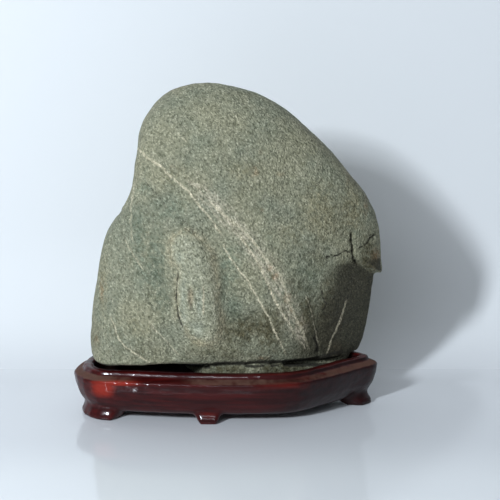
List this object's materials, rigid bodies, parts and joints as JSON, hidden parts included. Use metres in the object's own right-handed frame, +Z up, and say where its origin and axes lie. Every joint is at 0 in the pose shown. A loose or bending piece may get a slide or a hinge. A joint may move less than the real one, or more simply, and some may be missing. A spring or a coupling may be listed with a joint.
{
  "type": "scholars rock on a wooden stand",
  "caption": "Rounded grey-green speckled viewing stone with pale veins, resting in the seat of a low carved and lacquered hardwood stand on flared feet.",
  "frame": {"origin": "middle of the object's plan, at the floor under the stand's feet", "axes": "+Z up; +X to the right as the stone is shown; -Y towards the viewer, so the veined face looks along -Y"},
  "size_m": [0.233, 0.1028, 0.2485],
  "materials": {
    "stone": "river-worn matt grey-green stone with fine light and dark grain, cream veins and brown patches",
    "lacquered_wood": "dark red-brown glossy lacquer over carved hardwood, dusty on the ledge"
  },
  "bodies": {
    "root": {"stone": "stone", "stand": "lacquered_wood"}
  },
  "joints": []
}
